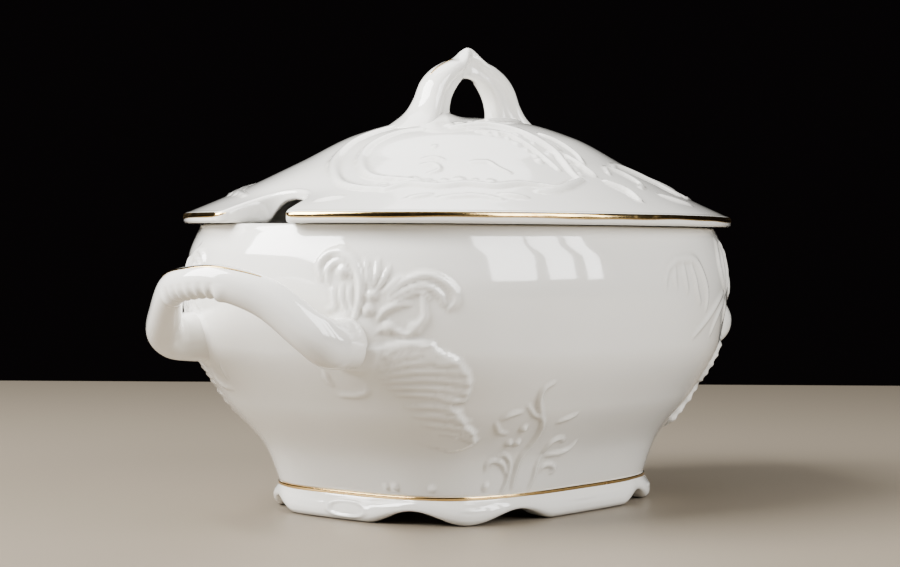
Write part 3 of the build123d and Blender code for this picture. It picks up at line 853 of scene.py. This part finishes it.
# Strokes of the lid's relief: half width, height, and the line as (x, y). All of it repeats half a turn on.
lidScrolls = [
    (2.6, 1.1, [(-43, 0), (-49, 4.7), (-64, 8.7), (-80, 3.2), (-93.5, -9), (-100.6, -20.4), (-101, -31.7),
                (-97, -40)]),
    (2.2, 1.0, [(-47, -15), (-53, -8.4), (-66, -4.4), (-78, -9), (-89, -21), (-91, -30), (-86.4, -40.8),
                (-81.4, -51)]),
    (2.8, 1.2, [(-38, -22.4), (-21.5, -27.8), (-14.5, -35.4), (-11.9, -42.7), (-9.8, -54), (-17.3, -68.4),
                (-17.7, -72.6)]),
    (2.4, 1.1, [(-17.7, -72.6), (-27, -74.6), (-37.3, -76), (-45, -71.5)]),
    (2.0, 0.9, [(-33.5, -31.8), (-23.5, -38.6), (-21.2, -46), (-20.7, -54.8), (-22.4, -65)]),
    (2.5, 1.1, [(-98.7, -39), (-89, -43), (-83, -52.3), (-72.6, -57.8), (-64, -65), (-52.4, -68),
                (-45, -71.5)]),
    (1.9, 1.3, [(-6, -56), (-5.7, -60), (-4.7, -70)]),
    (2.0, 1.2, [(-3, -74), (2.6, -80.8), (0.7, -88.8)]),
    (1.8, 0.7, [(-117, -21), (-114, -24.7), (-111, -28)]),
    (1.8, 0.8, [(-99, -51.7), (-95, -53.6), (-91, -55.3)]),
    (2.0, 0.9, [(-67.3, -71), (-63.5, -74.4), (-59.8, -77.4)]),
    (1.9, 0.8, [(-50, -75), (-44.5, -76.8), (-39, -77.8)]),
    (2.2, 0.8, [(-90, -60), (-78.7, -66), (-71, -74)]),
    (1.6, 0.6, [(-56.5, -47.5), (-50.5, -50.8), (-50.4, -56), (-48.8, -61)]),
    (1.5, 0.7, [(-73, -36), (-69.5, -39.5), (-72, -44), (-77, -43)]),
    (1.3, 0.6, [(-69, -33), (-65, -36), (-64, -40)]),
    (1.9, 1.0, [(-37.6, -4.8), (-39.4, -3.4), (-41, -2)]),
    (2.4, 1.1, [(-14.8, -22.5), (-2.7, -20.6), (12, -19)]),
    (2.2, 0.9, [(20, -62), (28, -58), (40, -60), (52, -66), (60, -72)]),
    (2.0, 1.0, [(47, -60), (62, -60), (76, -56), (90, -46)]),
    (1.8, 0.8, [(46.9, -59.6), (50.4, -66.4), (54.4, -73)]),
    (2.0, 0.8, [(27, -81), (35, -83.6), (43, -85)]),
    (1.8, 0.8, [(70, -66), (84, -58), (98, -44)]),
    (1.8, 0.8, [(78, -57), (92, -47), (104, -35)]),
    (1.7, 0.7, [(89, -46), (101, -36), (110, -24)]),
    (1.6, 0.8, [(-2, -40), (2.6, -47), (3.6, -55), (0, -61)]),
    (1.8, 0.8, [(8, -68), (14, -63), (22, -66), (24, -73), (18, -77)]),
]
# Rows of small lobes: the line they stand on, their radius and spacing.
lidFrills = [
    ([(-36, -20), (-19, -25), (-11.5, -34), (-8.6, -43), (-6.5, -54), (-13.6, -69)], 2.7, 4.6),
    ([(-31, -35), (-26.5, -39.5), (-24.8, -46.4), (-24, -55)], 1.5, 3.6),
    ([(-17.2, -40), (-15.6, -47), (-15, -55)], 1.7, 4.0),
    ([(-96, -36), (-86.5, -40), (-80, -49), (-70.6, -55), (-62, -62)], 1.8, 5.2),
]
lidDots = [(1.9, 1.1, (-26, -58)), (1.6, 0.8, (-58, -30))]


def lidLift(points):
    lift = np.zeros(len(points))
    for flip in (1, -1):
        for halfWidth, height, line in lidScrolls:
            path = evenly(smoothPath(line), 8 * len(line)) * flip
            height = height * lid["reliefScale"]
            lift = np.maximum(lift, strokeHeight(points, onLid(*path.T), halfWidth, height, 0.4, 1.0))
        for row, (line, radius, gap) in enumerate(lidFrills):
            path = smoothPath(line)
            for k, spot in enumerate(evenly(path, int(lengthAlong(path)[-1] / gap))):
                size = radius * (1.15 + 0.45 * math.sin(2.3 * k + row))
                lift = np.maximum(lift, dotHeight(points, onLid(*(spot * flip)), size, 0.3 * radius))
        for radius, height, centre in lidDots:
            spot = onLid(*(np.array([centre]) * flip).T)[0]
            lift = np.maximum(lift, dotHeight(points, spot, radius, height))
    return lift


knob = {
    # the arch's outside and inside: distance from its middle, depth below its tip
    "outer": [(0, 0.1), (1.1, 0.25), (2.9, 1.3), (4.8, 3.1), (8.5, 5.3), (13.8, 6.8), (21, 10.2), (27, 15.3),
              (31.5, 23.3), (37, 29.9), (48, 36.7)],
    "inner": [(0, 13.4), (1.4, 13.45), (4.2, 13.9), (7.4, 15.0), (10.2, 16.7), (12.8, 19.3), (14.8, 22.3),
              (15.9, 25.5), (16.4, 28.5), (16.6, 31.5), (17, 36.9)],
    "depth": [3.0, 3.4, 4.2, 5.4, 6.6, 7.2, 7.5, 7.6, 8.0, 9.6, 13.5],  # half its size across
    "squareness": 2.2,
    "channel": 0.34,  # how much narrower the arch is along the middle of its flank
    "buried": 1.8,
    "legMiddle": 25.45,  # distance from the arch's middle to the middle of a leg
    "weldReach": (11.5, 9.5),  # half size of the weld round a leg
    "weldHeight": 2.2,
    "goldFrom": 9.5,
    "goldTo": 25.0,
    "goldHalfWidth": 0.75,
    "goldProud": 0.16,
    "columns": 96,
}


def weldAtKnob(points):  # soft glaze-filled join where the knob's legs meet the lid
    along, across = knob["weldReach"]
    reach = np.hypot((np.abs(points[:, 0]) - knob["legMiddle"]) / along, points[:, 1] / across)
    return knob["weldHeight"] * np.clip(1 - np.maximum(reach - 0.8, 0) / 0.9, 0, 1) ** 2.2


def lidOutline(half):  # the rim with the notch cut into it; half is the number of points on half of the notch
    x, y = oval(evenTurns(40000, lidLength, lidWidth, lid["ovalness"]), lidLength, lidWidth, lid["ovalness"])
    onRim = (y >= 0) & ((x >= 0) | (y >= lid["notch"][0][1]))
    upper = np.stack([x, y], axis=1)[onRim]
    rim = evenly(upper, lid["columns"] // 2 - half + 1)[:-1]
    notch = notchLine(half + 1)
    outline = np.concatenate([rim, notch, (notch * (1, -1))[-2::-1], (rim * (1, -1))[:0:-1]])
    spread = np.roll(outline, -1, axis=0) - np.roll(outline, 1, axis=0)
    return rim, outline, unit(np.stack([-spread[:, 1], spread[:, 0]], axis=1))


def lidTurns(rim, half):  # turns of the round rows' points, closed up to leave the notch its share of them
    outer = np.arctan2(rim[:, 1] / lidWidth, rim[:, 0] / lidLength)
    last = math.pi - math.atan2(lid["meetHalf"] / (lidWidth * lid["meet"]), 1.0)
    if outer[-1] > last:
        outer = outer - (outer[-1] - last) * ease((outer - 2.0) / (outer[-1] - 2.0))
    halfTurns = np.concatenate([outer, np.linspace(outer[-1], math.pi, half + 2)[1:]])
    return np.concatenate([halfTurns, 2 * math.pi - halfTurns[-2:0:-1]])


def lidTop(rim, outline, inward, half):  # rows from the crown to the rim, and the creases on them where pooled glaze and painted shade lie
    turns = lidTurns(rim, half)
    shares = np.concatenate([[0.012, 0.024], np.linspace(0.036, lid["meet"], 72)])
    rows = [np.stack(oval(turns, lidLength * s, lidWidth * s, lid["ovalness"]), axis=1) for s in shares]
    start, edge = rows[-1], outline + inward * lid["rimRound"]
    rows += [start * (1 - s) + edge * s for s in np.linspace(0, 1, 41)[1:]]
    plan = np.stack(rows)
    surface = onLid(plan[:, :, 0], plan[:, :, 1])
    flat = surface.reshape(-1, 3)
    fade = np.ones(len(plan))
    fade[-6:] = ease(np.linspace(1, 0, 6))
    relief = lidLift(flat).reshape(plan.shape[:2]) * fade[:, None]
    lift = relief + weldAtKnob(flat).reshape(relief.shape)
    normals = gridNormals(surface)
    normals = normals * np.where(normals[:, :, 2:] < 0, -1, 1)
    return surface + normals * lift[:, :, None], poolAndShadeBeside(relief)


def makeLid():
    columns, wall = lid["columns"], lid["wall"]
    rimRound, seatRound = lid["rimRound"], lid["seatRound"]
    half = int(round(lid["notchShare"] * columns / 2))
    rimPoints, outline, inward = lidOutline(half)
    surface, poolAndShade = lidTop(rimPoints, outline, inward, half)

    lipZ = surface[-1, :, 2]
    rim = []
    for swing in np.linspace(0, math.pi / 2, 7)[1:]:
        p = outline + inward * rimRound * (1 - math.sin(swing))
        z = np.maximum(lipZ - rimRound * (1 - math.cos(swing)), lidSeat + seatRound)
        rim.append(np.column_stack([p, z]))
    inNotch = np.abs(np.arange(columns) - columns / 2) <= half
    thin = ease((outline[:, 0] + lidHigh[0] - lid["thinFrom"]) / 5) * inNotch
    low = lidSeat + seatRound + thin * (lipZ - wall - lidSeat)
    for s in np.linspace(0, 1, 6)[1:]:
        rim.append(np.column_stack([outline, z * (1 - s) + low * s]))
    for swing in np.linspace(0, math.pi / 2, 5)[1:]:
        p = outline + inward * seatRound * (1 - math.cos(swing))
        rim.append(np.column_stack([p, low - seatRound * math.sin(swing)]))

    hollow = outline + inward * wall
    share = ovalShare(*hollow.T, *(flangeHigh[:2] - lid["flangeThickness"]), lid["ovalness"])
    hollow = np.where(inNotch[:, None] & (share < 1)[:, None], hollow, hollow / share[:, None])
    seat = low - seatRound
    ceiling = np.maximum(lidHeight(*hollow.T) - wall, seat + 0.3)
    under = [np.column_stack([hollow, seat * (1 - s) + ceiling * s]) for s in (0, 0.35, 0.7, 1.0)]
    under += [onLid(*(hollow * s).T) - (0, 0, wall) for s in np.linspace(0.93, 0.03, 15)]
    crown = float(lidHeight(np.array([0.0]), np.array([0.0]))[0])
    poles = ((0, 0, crown), (0, 0, crown - wall))
    piece = addRings("lid", np.concatenate([surface, rim, under]), "porcelain", "lid", poles)
    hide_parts("lid_shell")
    setPoolAndShade(piece, poolAndShade.ravel())
    gildRim(outline, inward, lipZ, half)
    print("lid made,", len(piece.data.polygons), "faces")


def gildRim(outline, inward, lipZ, half):  # gold round the rim, from one side of the notch to the other
    columns, rimRound = lid["columns"], lid["rimRound"]
    ring = np.concatenate([np.arange(columns // 2 + half - 3, columns), np.arange(columns // 2 - half + 4)])
    k = np.arange(len(ring))
    taper = np.clip(np.minimum(k, k[::-1]) / 5, 0, 1) ** 0.5
    brush = 0.14 * np.sin(k * 0.07) + 0.06 * np.sin(k * 0.19 + 1)
    upperEdge = lid["goldFrom"] + 0.6 * brush
    width = (lidGoldHigh[2] - lidGoldLow[2]) * lid["goldSpread"] + brush
    patch, facing = [], []
    for u in np.linspace(0, 1, 9):
        arc = upperEdge + width * (0.5 + (u - 0.5) * taper)
        swing = np.minimum(arc / rimRound, math.pi / 2)
        drop = np.maximum(arc - rimRound * math.pi / 2, 0)
        p = outline[ring] + inward[ring] * (rimRound * (1 - np.sin(swing)))[:, None]
        patch.append(np.column_stack([p, lipZ[ring] - rimRound * (1 - np.cos(swing)) - drop]))
        facing.append(np.column_stack([-inward[ring] * np.sin(swing)[:, None], np.cos(swing)]))
    line = addInlay("lidGold", np.stack(patch), np.stack(facing), "lid")
    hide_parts("lid_gold_line")


makeLid()


def makeKnob():
    outer, inner = ((0, knobHigh[2]) + np.array(knob[side]) * (1, -1) for side in ("outer", "inner"))
    stations = np.column_stack([outer, inner, knob["depth"]])
    route = evenly(smoothPath(stations, 16), 90)
    route[0] = stations[0]
    full = np.concatenate([(route * (-1, 1, -1, 1, 1))[:0:-1], route])
    top, bottom, depth = full[:, :2], full[:, 2:4], full[:, 4]
    centre, reach = (top + bottom) / 2, (top - bottom) / 2
    u, v = oval(roundTurn(knob["columns"]), 1, 1, knob["squareness"])
    narrow = 1 - knob["channel"] * np.exp(-(((v + 0.25) / 0.5) ** 2))
    x = centre[:, None, 0] + reach[:, None, 0] * v
    z = centre[:, None, 1] + reach[:, None, 1] * v
    y = depth[:, None] * u * narrow
    grid = np.stack([x, y, np.maximum(z, lidHeight(x, y) - knob["buried"])], axis=2)
    piece = addRings("knob", grid, "porcelain", "lid")
    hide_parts("lid_knob")
    setPoolAndShade(piece)
    crest = knob["columns"] // 4
    strokes = []
    for side in (-1, 1):
        reach = side * grid[:, crest, 0]
        path = grid[(reach > knob["goldFrom"]) & (reach < knob["goldTo"]), crest]
        along = unit(np.gradient(path, axis=0))
        facing = unit(np.column_stack([-along[:, 2], np.zeros(len(path)), along[:, 0]]))
        facing = facing * np.where(facing[:, 2:] < 0, -1, 1)
        halfWidth = knob["goldHalfWidth"] * brushTaper(len(path), 0.5)
        strokes.append(addStrip(f"knobGold{side}", path, facing, halfWidth, "lid", proud=knob["goldProud"]))
    line = joined(strokes, "knobGold")
    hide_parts("knob_gold_line")
    print("knob made")


makeKnob()
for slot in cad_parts["lid_flange"].material_slots:
    slot.material = materials["porcelain"]

view = {
    "distance": 879.0,
    "height": 110.8,
    "bearing": 51.16,  # where the camera stands, in degrees round from -Y towards -X
    "down": 1.129,  # degrees, as are the next two
    "aside": 0.461,
    "roll": 0.301,
    "lens": 81.93,
}


def makeCamera():
    bearing, down = math.radians(view["bearing"]), math.radians(view["down"])
    yaw, roll = -math.radians(view["aside"]), math.radians(view["roll"])
    ahead = Vector((math.sin(yaw) * math.cos(down), math.cos(yaw) * math.cos(down), -math.sin(down)))
    right = Vector((math.cos(yaw), -math.sin(yaw), 0))
    up = right.cross(ahead)
    across = right * math.cos(roll) + up * math.sin(roll)
    upright = up * math.cos(roll) - right * math.sin(roll)
    axes = Matrix((across, upright, -ahead)).transposed().to_4x4()
    turned = Matrix.Rotation(-bearing, 4, "Z")
    place = turned @ Vector((0, -view["distance"] * mm, view["height"] * mm))
    camera = bpy.data.objects.new("camera", bpy.data.cameras.new("camera"))
    camera.data.lens = view["lens"]
    camera.data.sensor_width = 36
    camera.matrix_world = Matrix.Translation(place) @ turned @ axes
    bpy.context.scene.collection.objects.link(camera)
    bpy.context.scene.camera = camera


makeCamera()

room = {
    "tableHalf": 1500.0,
    "tableBack": 745.0,
    "tableFront": 1300.0,
    "tableEdge": 6.0,
    "tableColour": (0.18, 0.15, 0.112, 1),
    "tableShade": (0.148, 0.122, 0.09, 1),
    "dim": 0.003,
    "dimColour": (1.0, 0.75, 0.85, 1),
    "lamps": [
        ("leftSoftbox", (-0.80, 0.40, 0.80), 1.15, 0.9, 1.0, 76.0),
        ("rightPane1", (-0.035, -0.86, 0.42), 1.05, 0.33, 0.72, 9.4),
        ("rightPane2", (0.24, -0.82, 0.42), 1.05, 0.19, 0.72, 5.6),
        ("rightPane3", (0.43, -0.78, 0.42), 1.05, 0.11, 0.72, 3.2),
        ("topSoftbox", (0.30, 0.25, 0.92), 1.2, 0.8, 0.8, 5.5),
    ],  # name, direction from the tureen, distance, width, height (metres) and watts
}


def paleTable():
    g = Graph("paleTable")
    grain = g.noise(3.0, 3.0)
    sockets = {
        "Base Color": g.blendColour(grain * 0.25, room["tableColour"], room["tableShade"]),
        "Roughness": 0.42 + grain * 0.08,
    }
    return g.finish(sockets)


def makeRoom():
    half, back, front, edge = room["tableHalf"], room["tableBack"], -room["tableFront"], room["tableEdge"]
    rings = []
    for out, z in ((-edge, 0), (-0.3 * edge, -0.3 * edge), (0, -edge), (0, -6 * edge)):
        corners = ((-half - out, front - out), (half + out, front - out), (half + out, back + out),
                   (-half - out, back + out))
        rings.append([(x, y, z) for x, y in corners])
    mesh = bpy.data.meshes.new("table")
    sides = gridFaces(4, 4).tolist()
    mesh.from_pydata((np.array(rings).reshape(-1, 3) * mm).tolist(), [], sides + [[3, 2, 1, 0]])
    mesh.materials.append(paleTable())
    table = bpy.data.objects.new("table", mesh)
    table.rotation_euler.z = -math.radians(view["bearing"])
    bpy.context.scene.collection.objects.link(table)
    world = bpy.data.worlds.new("room")
    world.use_nodes = True
    world.node_tree.nodes["Background"].inputs["Color"].default_value = room["dimColour"]
    world.node_tree.nodes["Background"].inputs["Strength"].default_value = room["dim"]
    bpy.context.scene.world = world
    for name, direction, distance, width, height, watts in room["lamps"]:
        lamp = bpy.data.lights.new(name, "AREA")
        lamp.shape, lamp.size, lamp.size_y, lamp.energy = "RECTANGLE", width, height, watts
        holder = bpy.data.objects.new(name, lamp)
        away = Vector(direction).normalized()
        holder.location = away * distance + Vector((0, 0, 0.09))
        holder.rotation_euler = away.to_track_quat("Z", "Y").to_euler()
        bpy.context.scene.collection.objects.link(holder)


makeRoom()
